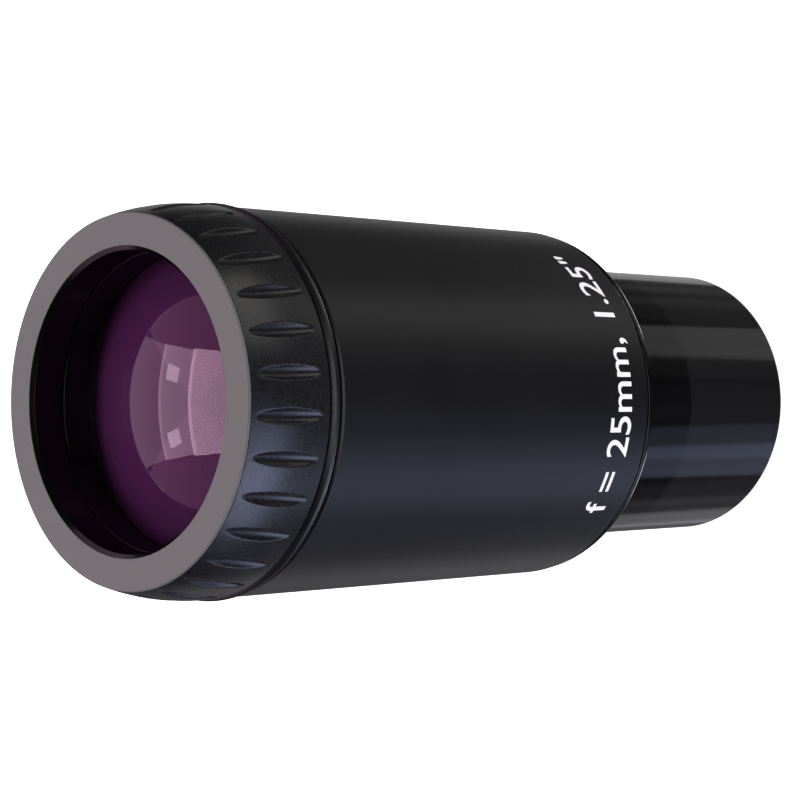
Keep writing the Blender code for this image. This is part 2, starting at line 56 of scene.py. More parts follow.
# Points round a turned piece, along a rounded corner, a lens surface, a bead and an O-ring.
TURN_STEPS = 288
CORNER_STEPS = 4
LENS_STEPS = 48
BEAD_STEPS = 24
O_RING_STEPS = 24

# A rounded corner may use this share of a side; its flat shoulders start at this many reaches.
CORNER_ROOM = 0.3
SHOULDER = 1.6

# Points nearer than TINY are one point; the lettering's are, when nearer than MARK_MERGE.
TINY = 1e-8
MARK_MERGE = 1e-7

# A broken edge, as machining and moulding leave it, and the joint between two fitted pieces.
EDGE = 0.08 * MM
JOINT = 0.02 * MM


def extent(node):
    """(outer radius, lowest height, highest height) of a round CAD node."""
    low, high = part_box(node)
    return max(high.x, high.y), low.z, high.z


# Radii and heights of the outside, read from the frame.
NOSE_R, _, NOSE_TOP = extent("nosepiece")
REAR_R, REAR_BOTTOM, _ = extent("rear_ring")
BODY_R, BODY_BOTTOM, BODY_TOP = extent("body_shell")
_, SKIRT_BOTTOM, COLLAR_TOP = extent("collar_ring")
_, GRIP_BOTTOM, _ = extent("eyecup_grip_ring")
_, FACE_BOTTOM, FACE_TOP = extent("eyecup_face_ring")
FLANGE_R, SLEEVE_BOTTOM, _ = extent("eyecup_sleeve")

# Nosepiece, with its filter thread M28.5 x 0.6.
NOSE_BORE_R = NOSE_R - 1.4 * MM
NOSE_CHAMFER = 0.4 * MM
THREAD_TOP = 6.5 * MM
THREAD_PITCH = 0.6 * MM
THREAD_DEPTH = 0.32 * MM
THREAD_CREST_R = 14.0 * MM
THREAD_ROWS = 108
# Painted shade: above the first height the nosepiece is painted darker, blended in over the second.
PAINTED_SHADE_BOTTOM = 18.6 * MM
PAINTED_SHADE_FADE = 0.4 * MM

# Field stop: the radius of its opening above and below.
STOP_TOP_R = 10.6 * MM
STOP_BOTTOM_R = 11.6 * MM

# Rear ring and the body shell.
REAR_FLANGE = 0.75 * MM
REAR_BORE_R = NOSE_R + JOINT
SPIGOT_R = 17.25 * MM
BODY_CHAMFER = 0.2 * MM
REAR_COUNTERBORE_R = 17.55 * MM
LEDGE_BOTTOM = 41.25 * MM
LEDGE_TOP = 45.25 * MM
LEDGE_R = 12.8 * MM
CELL_SEAT_R = 16.75 * MM
GUIDE_FLOOR = 57.8 * MM
GUIDE_BORE_R = 18.75 * MM
SKIRT_BORE_R = 19.05 * MM
SKIRT_ROOM = 4 * EDGE

# Collar ring: a bead that bulges by COLLAR_BEAD between its two edges.
COLLAR_EDGE_R = BODY_R - 0.15 * MM
COLLAR_BEAD = 0.4 * MM
COLLAR_HEIGHT = 1.15 * MM
SKIRT_R = 18.75 * MM
COLLAR_BORE_R = 18.05 * MM

# Eyecup.
GRIP_R = BODY_R + 0.05 * MM
GRIP_CROWN = 24.7 * MM
GRIP_WIDEST_UP = 0.9 * MM
GRIP_ROWS = 72
FACE_PLATE = 0.24 * MM
FACE_CHAMFER = 0.4 * MM
EYE_OPENING_R = 14.9 * MM
LIP_R = EYE_OPENING_R + FACE_CHAMFER
ROOF_BOTTOM = 85.5 * MM
SLEEVE_R = 17.75 * MM
SLEEVE_BORE_R = 16.75 * MM
FLANGE_TOP = 64.5 * MM
O_RING_GROOVE_R = 17.35 * MM
O_RING_GROOVE_BOTTOM = 62.2 * MM
O_RING_GROOVE_TOP = 63.6 * MM

# Notches of the grip ring: each is the bed of a spindle that lies along the ring's slope.
NOTCH_COUNT = 30
NOTCH_PHASE = math.radians(2.2)
NOTCH_UP = 4.6 * MM
NOTCH_RADIUS = 0.75 * MM
NOTCH_HALF_LENGTH = 6.2 * MM
NOTCH_LIFT = 0.2 * MM
NOTCH_SOFTNESS = 0.03 * MM
NOTCH_FLOOR_R = COLLAR_BORE_R + 0.3 * MM
NOTCH_TURN_STEPS = 1200

# Lens cell, its rings and the doublets.
CELL_R = 16.45 * MM
CELL_BOTTOM = 45.55 * MM
CELL_TOP = 85.2 * MM
CELL_STEP = 70.5 * MM
EYE_BORE_R = 15.5 * MM
FIELD_BORE_R = 13.3 * MM
EYE_RING_R = 15.5 * MM
RING_SEAT_R = 15.8 * MM
RING_SEAT = 81.4 * MM
EYE_LENS_R = 15.2 * MM
EYE_CROWN_POLE = 85.0 * MM
EYE_OUTER_CURVE = 33.7 * MM
EYE_CEMENT_POLE = 73.5 * MM
EYE_CEMENT_CURVE = 30.0 * MM
EYE_FLINT_BOTTOM = 70.8 * MM
FIELD_LENS_R = 13.0 * MM
FIELD_FLINT_TOP = 69.0 * MM
FIELD_CEMENT_POLE = 66.6 * MM
FIELD_CEMENT_CURVE = 24.0 * MM
FIELD_CROWN_POLE = 56.8 * MM
FIELD_OUTER_CURVE = 30.0 * MM
CEMENT_GAP = 0.3 * MM
LENS_EDGE = 0.15 * MM
SPACER_WALL = 1.1 * MM
RETAINING_WALL = 1.6 * MM
SPANNER_SLOT_WIDTH = 1.2 * MM
SPANNER_SLOT_DEPTH = 0.8 * MM
SPANNER_SLOT_SIDE = 1e-4

# Twist-up motion: three cam grooves round the lens cell.
CAM_COUNT = 3
CAM_PHASE = math.radians(35.0)
CAM_RADIUS = 1.2 * MM
CAM_HEIGHT = 60.1 * MM
CAM_LIFT = 8.0 * MM
CAM_TWIST = math.radians(100.0)
CAM_ROWS = 90

# Size marks printed round the body shell, near the nosepiece.
# CAP_SHARE is the height of a capital in the built-in typeface, as a share of the text size.
MARK_TEXT = "f = 25mm, 1.25\""
CAP_SHARE = 0.73
MARK_CAP_HEIGHT = 3.6 * MM
MARK_BASELINE = 34.6 * MM
MARK_CENTRE = math.radians(-81.5)
MARK_PROUD = 0.03 * MM
MARK_SLICE = 0.4 * MM
MARK_BOLDNESS = 0.008
MARK_CURVE_STEPS = 6

# Camera, which looks down at the eyepiece's axis, rolled so that +X is up.
CAMERA_AIM = 50.5 * MM
CAMERA_ELEVATION = math.radians(45.66)
CAMERA_DISTANCE = 241.6 * MM
CAMERA_LENS = 98.485
CAMERA_SHIFT = 0.0026
SENSOR_WIDTH = 36.0

FLOOR_HALF = 3.0

# The noise of turned pieces runs round the axis: it is stretched this way along X, Y and Z.
ROUND_ABOUT = (1.0, 1.0, 60.0)

# The noise node's values mostly lie between these.
NOISE_LOW, NOISE_HIGH = 0.3, 0.7

# Numbers of a colour Mix node's sockets: its two colours and its result.
MIX_FROM, MIX_TO, MIX_RESULT = 6, 7, 2


# ---------------------------------------------------------------- outlines and grids


def rounded(corners, radii):
    """A closed outline with its corners made arcs.

    At a corner whose two sides leave along unit vectors u and v, with half angle h between
    them and the bisector, an arc of radius r touches each side at r / tan h from the corner,
    and its centre is r / sin h along the bisector. One more point stands on each side beyond
    the arc, so that smooth shading stays flat along the sides. A radius of 0 keeps a corner.
    """
    corners = np.asarray(corners, float)
    radii = np.broadcast_to(np.asarray(radii, float), len(corners))
    before = np.roll(corners, 1, axis=0) - corners
    after = np.roll(corners, -1, axis=0) - corners
    length_before = np.linalg.norm(before, axis=1)
    length_after = np.linalg.norm(after, axis=1)
    before /= length_before[:, None]
    after /= length_after[:, None]
    half = np.arccos(np.clip((before * after).sum(axis=1), -1.0, 1.0)) / 2
    room = CORNER_ROOM * np.minimum(length_before, length_after)
    reach = np.minimum(radii / np.tan(half), room)
    bisector = before + after
    bisector /= np.maximum(np.linalg.norm(bisector, axis=1), 1e-12)[:, None]
    centre = corners + bisector * (reach / np.cos(half))[:, None]
    start = corners + before * reach[:, None] - centre
    end = corners + after * reach[:, None] - centre
    share = np.linspace(0.0, 1.0, CORNER_STEPS + 1)[None, :, None]
    swing = (math.pi - 2 * half)[:, None, None]
    sine = np.maximum(np.sin(swing), 1e-9)
    arc = (np.sin((1 - share) * swing) * start[:, None] + np.sin(share * swing) * end[:, None]) / sine
    arc += centre[:, None]
    first = corners + before * (SHOULDER * reach)[:, None]
    last = corners + after * (SHOULDER * reach)[:, None]
    points = np.concatenate([first[:, None], arc, last[:, None]], axis=1).reshape(-1, 2)
    apart = np.linalg.norm(points - np.roll(points, 1, axis=0), axis=1)
    return points[apart > TINY]


def piece_from_grid(name, grid, open_poles):
    """A closed mesh from a grid of points, rows by turn steps.

    Each face joins points (i, j), (i+1, j), (i+1, j+1) and (i, j+1); the turn wraps round, and
    so do the rows, unless the first and last rows are poles: then each is one point.
    """
    rows, steps = grid.shape[:2]
    index = np.arange(rows * steps).reshape(rows, steps)
    if open_poles:
        index[0] = index[0, 0]
        index[-1] = index[-1, 0]
        upper, lower = index[:-1], index[1:]
    else:
        upper, lower = index, np.roll(index, -1, axis=0)
    quads = np.stack([upper, lower, np.roll(lower, -1, axis=1), np.roll(upper, -1, axis=1)], axis=-1)
    quads = quads.reshape(-1, 4)
    used, flat = np.unique(quads, return_inverse=True)
    quads = flat.reshape(-1, 4)
    top = quads[:, 0] == quads[:, 3]
    bottom = quads[:, 1] == quads[:, 2]
    faces = quads[~top & ~bottom].tolist()
    faces += quads[top][:, [0, 1, 2]].tolist()
    faces += quads[bottom][:, [0, 1, 3]].tolist()
    mesh = bpy.data.meshes.new(name)
    mesh.from_pydata(grid.reshape(-1, 3)[used].tolist(), [], faces)
    mesh.shade_smooth()
    piece = bpy.data.objects.new(name, mesh)
    bpy.context.scene.collection.objects.link(piece)
    return piece


def turned(name, outline, turns=None, relief=None):
    """A turned piece: point (i, j) is (r_i cos a_j, r_i sin a_j, z_i).

    The outline runs down the outer side and up the inner side, or from pole to pole. A relief
    takes radius, height and angle as grids and returns the radius and height to use.
    """
    outline = np.asarray(outline, float)
    angle = np.linspace(0.0, 2 * math.pi, TURN_STEPS, endpoint=False) if turns is None else turns
    radius, angle = np.meshgrid(outline[:, 0], angle, indexing="ij")
    height = np.broadcast_to(outline[:, 1][:, None], radius.shape).copy()
    if relief:
        radius, height = relief(radius, height, angle)
    grid = np.stack([radius * np.cos(angle), radius * np.sin(angle), height], axis=-1)
    return piece_from_grid(name, grid, open_poles=outline[0, 0] == 0.0)


def wear(piece, material):
    """Gives an object this material and no other."""
    piece.data.materials.clear()
    piece.data.materials.append(material)


def fitted(piece, material, body, slot, *nodes):
    """Gives a finished piece its material and its place in the frame."""
    wear(piece, material)
    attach(piece, body)
    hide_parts(*nodes)
    return piece


# ---------------------------------------------------------------- pieces of the barrel


def filter_thread(radius, height, angle):
    """The bore's wall moves out and in with a triangle wave of height less turn, once a pitch."""
    turn = height / THREAD_PITCH - angle / (2 * math.pi)
    wave = 2 * np.abs(turn - np.floor(turn) - 0.5)
    run_in = np.clip((height - NOSE_CHAMFER) / THREAD_PITCH, 0.0, 1.0)
    run_out = np.clip((THREAD_TOP - height) / THREAD_PITCH, 0.0, 1.0)
    on_bore = (radius < NOSE_BORE_R) & (height > NOSE_CHAMFER * 0.99)
    return radius + on_bore * THREAD_DEPTH * wave * run_in * run_out, height


def nosepiece(material):
    """Outline with rows a fraction of the pitch apart along the thread."""
    wall = rounded(
        [
            (NOSE_R, NOSE_TOP),
            (NOSE_R, NOSE_CHAMFER),
            (NOSE_R - NOSE_CHAMFER, 0.0),
            (THREAD_CREST_R + NOSE_CHAMFER, 0.0),
            (THREAD_CREST_R, NOSE_CHAMFER),
            (THREAD_CREST_R, THREAD_TOP),
            (NOSE_BORE_R, THREAD_TOP),
            (NOSE_BORE_R, NOSE_TOP),
        ],
        [EDGE, EDGE, EDGE, EDGE, 0.0, 0.0, 0.0, EDGE],
    )
    start = 1 + np.flatnonzero(np.isclose(wall, (THREAD_CREST_R, NOSE_CHAMFER)).all(axis=1))[0]
    rows = np.linspace(NOSE_CHAMFER, THREAD_TOP, THREAD_ROWS)[1:-1]
    thread = np.stack([np.full_like(rows, THREAD_CREST_R), rows], axis=1)
    outline = np.concatenate([wall[:start], thread, wall[start:]])
    piece = turned("nosepiece_turned", outline, relief=filter_thread)
    return fitted(piece, material, "barrel", "gloss_black", "nosepiece")


def rear_ring(material):
    """A flange that shows under the body, and a spigot inside it."""
    flange_top = REAR_BOTTOM + REAR_FLANGE
    outline = rounded(
        [
            (SPIGOT_R, NOSE_TOP),
            (SPIGOT_R, flange_top),
            (REAR_R, flange_top),
            (REAR_R, REAR_BOTTOM),
            (REAR_BORE_R, REAR_BOTTOM),
            (REAR_BORE_R, NOSE_TOP),
        ],
        [EDGE, 0.0, 2 * EDGE, 3 * EDGE, EDGE, EDGE],
    )
    return fitted(turned("rear_ring_turned", outline), material, "barrel", "gloss_black", "rear_ring")


def field_stop_ring(material):
    """A ring whose opening narrows upwards to a knife edge."""
    low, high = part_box("field_stop_ring")
    outer = NOSE_BORE_R - JOINT
    corners = [(outer, high.z), (outer, low.z), (STOP_BOTTOM_R, low.z), (STOP_TOP_R, high.z)]
    piece = turned("field_stop_turned", rounded(corners, EDGE / 2))
    return fitted(piece, material, "barrel", "matt_black", "field_stop_ring")


def body_shell(material):
    """A straight tube; a ledge in it carries the lens cell, and its upper bore guides the eyecup."""
    chamfer = BODY_CHAMFER
    outline = rounded(
        [
            (BODY_R - chamfer, BODY_TOP),
            (BODY_R, BODY_TOP - chamfer),
            (BODY_R, BODY_BOTTOM + chamfer),
            (BODY_R - chamfer, BODY_BOTTOM),
            (REAR_COUNTERBORE_R, BODY_BOTTOM),
            (REAR_COUNTERBORE_R, LEDGE_BOTTOM),
            (LEDGE_R, LEDGE_BOTTOM),
            (LEDGE_R, LEDGE_TOP),
            (CELL_SEAT_R, LEDGE_TOP),
            (CELL_SEAT_R, GUIDE_FLOOR),
            (GUIDE_BORE_R, GUIDE_FLOOR),
            (GUIDE_BORE_R, SKIRT_BOTTOM - SKIRT_ROOM),
            (SKIRT_BORE_R, SKIRT_BOTTOM - SKIRT_ROOM),
            (SKIRT_BORE_R, BODY_TOP),
        ],
        EDGE,
    )
    return fitted(turned("body_shell_turned", outline), material, "barrel", "satin_black", "body_shell")


def collar_ring(material):
    """The bead's radius is its edge's plus COLLAR_BEAD times the sine of pi times its share."""
    share = np.linspace(0.0, 1.0, BEAD_STEPS)
    bulge = COLLAR_BEAD * np.sin(math.pi * share)
    bead = np.stack([COLLAR_EDGE_R + bulge, COLLAR_TOP - COLLAR_HEIGHT * share], axis=1)
    below = [
        (SKIRT_R, COLLAR_TOP - COLLAR_HEIGHT),
        (SKIRT_R, SKIRT_BOTTOM),
        (COLLAR_BORE_R, SKIRT_BOTTOM),
        (COLLAR_BORE_R, COLLAR_TOP),
    ]
    outline = np.concatenate([bead, below])
    radii = np.zeros(len(outline))
    radii[-3:] = EDGE
    piece = turned("collar_ring_turned", rounded(outline, radii))
    return fitted(piece, material, "barrel", "satin_black", "collar_ring")


def cam_grooves(radius, height, angle):
    """Round-bottomed grooves along three helices.

    On the unrolled surface, a point's distance to the nearest helix segment is taken; the
    groove there is as deep as a circle of CAM_RADIUS reaches below the surface.
    """
    run = np.array([CELL_R * CAM_TWIST, CAM_LIFT])
    depth = np.zeros_like(radius)
    for k in range(CAM_COUNT):
        start = CAM_PHASE + 2 * math.pi * k / CAM_COUNT
        middle = start + CAM_TWIST / 2
        across = np.mod(angle - middle + math.pi, 2 * math.pi) - math.pi + CAM_TWIST / 2
        x, y = across * CELL_R, height - CAM_HEIGHT
        share = np.clip((x * run[0] + y * run[1]) / run.dot(run), 0.0, 1.0)
        off = np.hypot(x - share * run[0], y - share * run[1])
        depth = np.maximum(depth, np.sqrt(np.maximum(CAM_RADIUS**2 - off**2, 0.0)))
    return radius - (radius > CELL_R - EDGE / 10) * depth, height


def lens_cell(material):
    """A stepped tube for both doublets, with rows close together where the cam grooves run."""
    outer = np.linspace(CAM_HEIGHT + CAM_LIFT + 2 * CAM_RADIUS, CAM_HEIGHT - 2 * CAM_RADIUS, CAM_ROWS)
    rows = np.stack([np.full_like(outer, CELL_R), outer], axis=1)
    wall = [
        (CELL_R, CELL_BOTTOM),
        (FIELD_BORE_R, CELL_BOTTOM),
        (FIELD_BORE_R, CELL_STEP),
        (EYE_BORE_R, CELL_STEP),
        (EYE_BORE_R, RING_SEAT),
        (RING_SEAT_R, RING_SEAT),
        (RING_SEAT_R, CELL_TOP),
        (CELL_R, CELL_TOP),
    ]
    outline = np.concatenate([rows, wall])
    radii = np.zeros(len(outline))
    radii[-len(wall):] = EDGE
    piece = turned("lens_cell_turned", rounded(outline, radii), relief=cam_grooves)
    return fitted(piece, material, "barrel", "matt_black", "lens_cell")


def slotted_turns(radius):
    """Turn angles with a close pair at each side of the two spanner slots."""
    even = np.linspace(0.0, 2 * math.pi, TURN_STEPS, endpoint=False)
    half = math.asin(SPANNER_SLOT_WIDTH / 2 / radius)
    nudges = (-SPANNER_SLOT_SIDE, SPANNER_SLOT_SIDE)
    sides = np.array([side + nudge for side in (-half, half) for nudge in nudges])
    return np.unique(np.mod(np.concatenate([even, sides, sides + math.pi]), 2 * math.pi))


def spanner_slots(edge, down):
    """A relief that moves the points at height `edge` by `down` where |y| is under half a slot."""

    def relief(radius, height, angle):
        """The slots as a function of radius and angle."""
        in_slot = np.abs(radius * np.sin(angle)) < SPANNER_SLOT_WIDTH / 2
        near_edge = np.abs(height - edge) < 2 * EDGE
        return radius, height + np.where(in_slot & near_edge, down, 0.0)

    return relief


def band(outer, inner, bottom, top):
    """Outline of a plain ring with broken edges."""
    return rounded([(outer, top), (outer, bottom), (inner, bottom), (inner, top)], EDGE)


def eye_lens_ring(material):
    """A threaded ring with two spanner slots in its upper edge."""
    low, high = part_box("eye_lens_ring")
    outline = band(EYE_RING_R, EYE_OPENING_R, low.z, high.z)
    relief = spanner_slots(high.z, -SPANNER_SLOT_DEPTH)
    piece = turned("eye_lens_ring_turned", outline, slotted_turns(EYE_OPENING_R), relief)
    return fitted(piece, material, "barrel", "gloss_black", "eye_lens_ring")


def lens_spacer(material):
    """A plain ring between the doublets."""
    low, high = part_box("lens_spacer")
    outline = band(FIELD_LENS_R, FIELD_LENS_R - SPACER_WALL, low.z, high.z)
    return fitted(turned("lens_spacer_turned", outline), material, "barrel", "matt_black", "lens_spacer")


def lens_retaining_ring(material):
    """A threaded ring with two spanner slots in its lower edge."""
    low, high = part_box("lens_retaining_ring")
    inner = FIELD_LENS_R - RETAINING_WALL
    outline = band(FIELD_LENS_R, inner, low.z, high.z)
    relief = spanner_slots(low.z, SPANNER_SLOT_DEPTH)
    piece = turned("lens_retaining_turned", outline, slotted_turns(inner), relief)
    return fitted(piece, material, "barrel", "matt_black", "lens_retaining_ring")


def sag(curve, radius):
    """How far a sphere of radius `curve` falls from its pole at this radius."""
    return curve - np.sqrt(curve * curve - radius * radius)


def lens_surface(pole, curve, rise, rim):
    """Points from the axis to the rim of a spherical surface; `curve` 0 is a flat."""
    radius = np.linspace(0.0, rim, LENS_STEPS)
    height = pole + (rise * sag(curve, radius) if curve else 0.0 * radius)
    return np.stack([radius, height], axis=1)


def lens(name, rim, upper, lower, materials, slot, node, cemented):
    """A lens: its two surfaces, each (pole, curve, rise), and a ground rim with broken edges.

    `materials` are its glass, its cement and its blacked rim; `cemented` is +1 where its upper
    surface is the cemented one and -1 where its lower one is.
    """
    above = lens_surface(*upper, rim - LENS_EDGE)
    below = lens_surface(*lower, rim - LENS_EDGE)
    rim_top, rim_bottom = above[-1, 1] - LENS_EDGE, below[-1, 1] + LENS_EDGE
    sides = np.array([(rim, rim_top), (rim, rim_bottom)])
    piece = turned(name, np.concatenate([above, sides, below[::-1]]))
    fitted(piece, materials[0], "barrel", slot, node)
    for material in materials[1:]:
        piece.data.materials.append(material)
    faces = len(piece.data.polygons)
    normals, centres = np.empty(faces * 3), np.empty(faces * 3)
    piece.data.polygons.foreach_get("normal", normals)
    piece.data.polygons.foreach_get("center", centres)
    up = normals.reshape(-1, 3)[:, 2] * cemented
    radius = np.hypot(*centres.reshape(-1, 3)[:, :2].T)
    on_rim = radius > rim - LENS_EDGE
    piece.data.polygons.foreach_set("material_index", np.where(on_rim, 2, np.where(up > 0.0, 1, 0)))
    return piece


# ---------------------------------------------------------------- pieces of the eyecup


def grip_radius(height):
    """The eyecup's convex side: an arc, widest GRIP_WIDEST_UP above the grip ring's foot."""
    return GRIP_R - sag(GRIP_CROWN, height - (GRIP_BOTTOM + GRIP_WIDEST_UP))


def notch_bed(radius, height, angle):
    """Pulls the side in where a spindle lies in it.

    Along the notch by l, the spindle's radius is NOTCH_RADIUS (1 - (l / half length)^2), and its
    axis stands off the curved side by NOTCH_LIFT + l^2 / (2 GRIP_CROWN). At w across, the bed
    is as deep as the root of the squared radius less w squared, less that stand-off. The rim is
    softened by a hyperbola instead of a hard maximum.
    """
    pitch = 2 * math.pi / NOTCH_COUNT
    across = (np.mod(angle - NOTCH_PHASE + pitch / 2, pitch) - pitch / 2) * radius
    centre = GRIP_BOTTOM + NOTCH_UP
    slope = math.asin((NOTCH_UP - GRIP_WIDEST_UP) / GRIP_CROWN)
    along = (height - centre) / math.cos(slope)
    spindle = NOTCH_RADIUS * (1 - (along / NOTCH_HALF_LENGTH) ** 2)
    stand_off = NOTCH_LIFT + along**2 / (2 * GRIP_CROWN)
    reach = np.sign(spindle) * spindle**2 - across**2
    depth = np.sqrt(np.maximum(reach, 0.0)) - stand_off
    soft = (depth + np.sqrt(depth**2 + NOTCH_SOFTNESS**2)) / 2
    soft -= NOTCH_SOFTNESS**2 / (4 * NOTCH_LIFT)
    return radius - (radius > NOTCH_FLOOR_R) * np.maximum(soft, 0.0), height


def eyecup_grip_ring(material):
    """Its side runs up to the face ring's plate, with rows evenly apart."""
    top = FACE_TOP - FACE_PLATE - JOINT
    height = np.linspace(top - 2 * EDGE, GRIP_BOTTOM + 4 * EDGE, GRIP_ROWS)
    side = np.stack([grip_radius(height), height], axis=1)
    foot = grip_radius(GRIP_BOTTOM)
    ends = [
        (foot, GRIP_BOTTOM),
        (COLLAR_BORE_R, GRIP_BOTTOM),
        (COLLAR_BORE_R, top),
        (grip_radius(top), top),
    ]
    outline = np.concatenate([side, ends])
    radii = np.zeros(len(outline))
    radii[-4:] = [2.5 * EDGE, EDGE, EDGE, EDGE / 2]
    turns = np.linspace(0.0, 2 * math.pi, NOTCH_TURN_STEPS, endpoint=False)
    piece = turned("eyecup_grip_moulded", rounded(outline, radii), turns, notch_bed)
    return fitted(piece, material, "eyecup", "grip_polymer", "eyecup_grip_ring")


def eyecup_face_ring(material):
    """A thin plate whose edge shows, over a narrower step that seats in the grip ring."""
    under = FACE_TOP - FACE_PLATE
    step = COLLAR_BORE_R - JOINT
    outline = rounded(
        [
            (grip_radius(FACE_TOP), FACE_TOP),
            (grip_radius(under), under),
            (step, under),
            (step, FACE_BOTTOM),
            (LIP_R + JOINT, FACE_BOTTOM),
            (LIP_R + JOINT, FACE_TOP),
        ],
        [EDGE, EDGE / 2, 0.0, EDGE, EDGE / 2, EDGE / 4],
    )
    piece = turned("eyecup_face_moulded", outline)
    return fitted(piece, material, "eyecup", "grey_face", "eyecup_face_ring")


def eyecup_sleeve(material):
    """Its polished bore runs up through the face ring to a chamfered lip."""
    corners = [
        (LIP_R, FACE_TOP - JOINT),
        (LIP_R, FACE_BOTTOM - JOINT),
        (SLEEVE_R, FACE_BOTTOM - JOINT),
        (SLEEVE_R, FLANGE_TOP),
        (FLANGE_R, FLANGE_TOP),
        (FLANGE_R, O_RING_GROOVE_TOP),
        (O_RING_GROOVE_R, O_RING_GROOVE_TOP),
        (O_RING_GROOVE_R, O_RING_GROOVE_BOTTOM),
        (FLANGE_R, O_RING_GROOVE_BOTTOM),
        (FLANGE_R, SLEEVE_BOTTOM),
        (SLEEVE_BORE_R, SLEEVE_BOTTOM),
        (SLEEVE_BORE_R, ROOF_BOTTOM),
        (EYE_OPENING_R, ROOF_BOTTOM),
        (EYE_OPENING_R, FACE_TOP - JOINT - FACE_CHAMFER),
    ]
    radii = np.full(len(corners), EDGE / 8)
    radii[-1] = EDGE / 2
    piece = turned("eyecup_sleeve_turned", rounded(corners, radii))
    return fitted(piece, material, "eyecup", "gloss_black", "eyecup_sleeve")


def friction_o_ring(material):
    """A torus: a circle of the O-ring's section carried round the axis."""
    low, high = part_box("friction_o_ring")
    section = (high.z - low.z) / 2
    middle = high.x - section
    turn = np.linspace(0.0, 2 * math.pi, O_RING_STEPS, endpoint=False)
    height = (high.z + low.z) / 2 - section * np.sin(turn)
    outline = np.stack([middle + section * np.cos(turn), height], axis=1)
    piece = turned("friction_o_ring_moulded", outline)
    return fitted(piece, material, "friction_ring", "nitrile", "friction_o_ring")


# ---------------------------------------------------------------- size marks


def vertices(mesh):
    """A mesh's points as rows of x, y and z."""
    points = np.empty(len(mesh.vertices) * 3)
    mesh.vertices.foreach_get("co", points)
    return points.reshape(-1, 3)


def size_marks(material):
    """Flat lettering wrapped round the body: x becomes turn angle, y height and z radius."""
    curve = bpy.data.curves.new("size_marks_text", "FONT")
    curve.body = MARK_TEXT
    curve.align_x = "CENTER"
    curve.offset = MARK_BOLDNESS
    curve.extrude = 0.5
    curve.resolution_u = MARK_CURVE_STEPS
    flat = bpy.data.objects.new("size_marks_text", curve)
    bpy.context.scene.collection.objects.link(flat)
    bpy.context.view_layer.update()
    mesh = bpy.data.meshes.new_from_object(flat.evaluated_get(bpy.context.evaluated_depsgraph_get()))
    bpy.data.objects.remove(flat)
    points = vertices(mesh)
    points[:, :2] *= MARK_CAP_HEIGHT / CAP_SHARE
    points[:, 2] *= 2 * MARK_PROUD
    mesh.vertices.foreach_set("co", points.ravel())
    slice_across(mesh, points[:, 0].min(), points[:, 0].max())
    points = vertices(mesh)
    angle = MARK_CENTRE + points[:, 0] / BODY_R
    radius = BODY_R + points[:, 2]
    wrapped = np.stack(
        [radius * np.cos(angle), radius * np.sin(angle), MARK_BASELINE + points[:, 1]], axis=1
    )
    mesh.vertices.foreach_set("co", wrapped.ravel())
    mesh.update()
    piece = bpy.data.objects.new("size_marks", mesh)
    bpy.context.scene.collection.objects.link(piece)
    wear(piece, material)
    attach(piece, "barrel")
    return piece


def slice_across(mesh, left, right):
    """Cuts the flat lettering every MARK_SLICE along its length, so that it can bend."""
    shape = bmesh.new()
    shape.from_mesh(mesh)
    bmesh.ops.remove_doubles(shape, verts=shape.verts, dist=MARK_MERGE)
    for x in np.arange(left + MARK_SLICE / 2, right, MARK_SLICE):
        geometry = shape.verts[:] + shape.edges[:] + shape.faces[:]
        bmesh.ops.bisect_plane(shape, geom=geometry, plane_co=(x, 0, 0), plane_no=(1, 0, 0), dist=TINY)
    shape.to_mesh(mesh)
    shape.free()


# ---------------------------------------------------------------- materials


def linear(hex_colour):
    """An sRGB hex colour as linear RGBA."""
    parts = [int(hex_colour[i:i + 2], 16) / 255 for i in (1, 3, 5)]
    return (*(p / 12.92 if p <= 0.04045 else ((p + 0.055) / 1.055) ** 2.4 for p in parts), 1.0)


def add(tree, kind, inputs=None, **settings):
    """Adds a node; `inputs` gives each socket a value or another node's output."""
    node = tree.nodes.new(kind)
    for key, value in settings.items():
        setattr(node, key, value)
    for key, value in (inputs or {}).items():
        if isinstance(value, bpy.types.NodeSocket):
            tree.links.new(value, node.inputs[key])
        else:
            node.inputs[key].default_value = value
    return node


def new_material(name):
    """An empty node-based material and its tree."""
    material = bpy.data.materials.new(name)
    material.use_nodes = True
    material.node_tree.nodes.clear()
    return material, material.node_tree


def shaded(tree, **sockets):
    """The Principled shader and the output that every material ends in."""
    named = {key.replace("_", " "): value for key, value in sockets.items()}
    shader = add(tree, "ShaderNodeBsdfPrincipled", named)
    add(tree, "ShaderNodeOutputMaterial", {"Surface": shader.outputs["BSDF"]})
    return shader


def grain(tree, size, stretch=(1.0, 1.0, 1.0), detail=2.0):
    """Noise whose features are about `size` across, in the piece's own coordinates."""
    place = add(tree, "ShaderNodeTexCoord").outputs["Object"]
    place = add(tree, "ShaderNodeMapping", {"Vector": place, "Scale": stretch}).outputs["Vector"]
    settings = {"Vector": place, "Scale": 1 / size, "Detail": detail}
    return add(tree, "ShaderNodeTexNoise", settings).outputs["Fac"]


def spread(tree, value, low, high):
    """Maps noise, which mostly lies from NOISE_LOW to NOISE_HIGH, onto low to high."""
    settings = {"Value": value, "From Min": NOISE_LOW, "From Max": NOISE_HIGH}
    settings.update({"To Min": low, "To Max": high})
    return add(tree, "ShaderNodeMapRange", settings).outputs["Result"]


def bump(tree, value, depth, normal=None):
    """A bump of that depth in metres."""
    settings = {"Height": value, "Distance": depth, "Strength": 1.0}
    if normal:
        settings["Normal"] = normal
    return add(tree, "ShaderNodeBump", settings).outputs["Normal"]


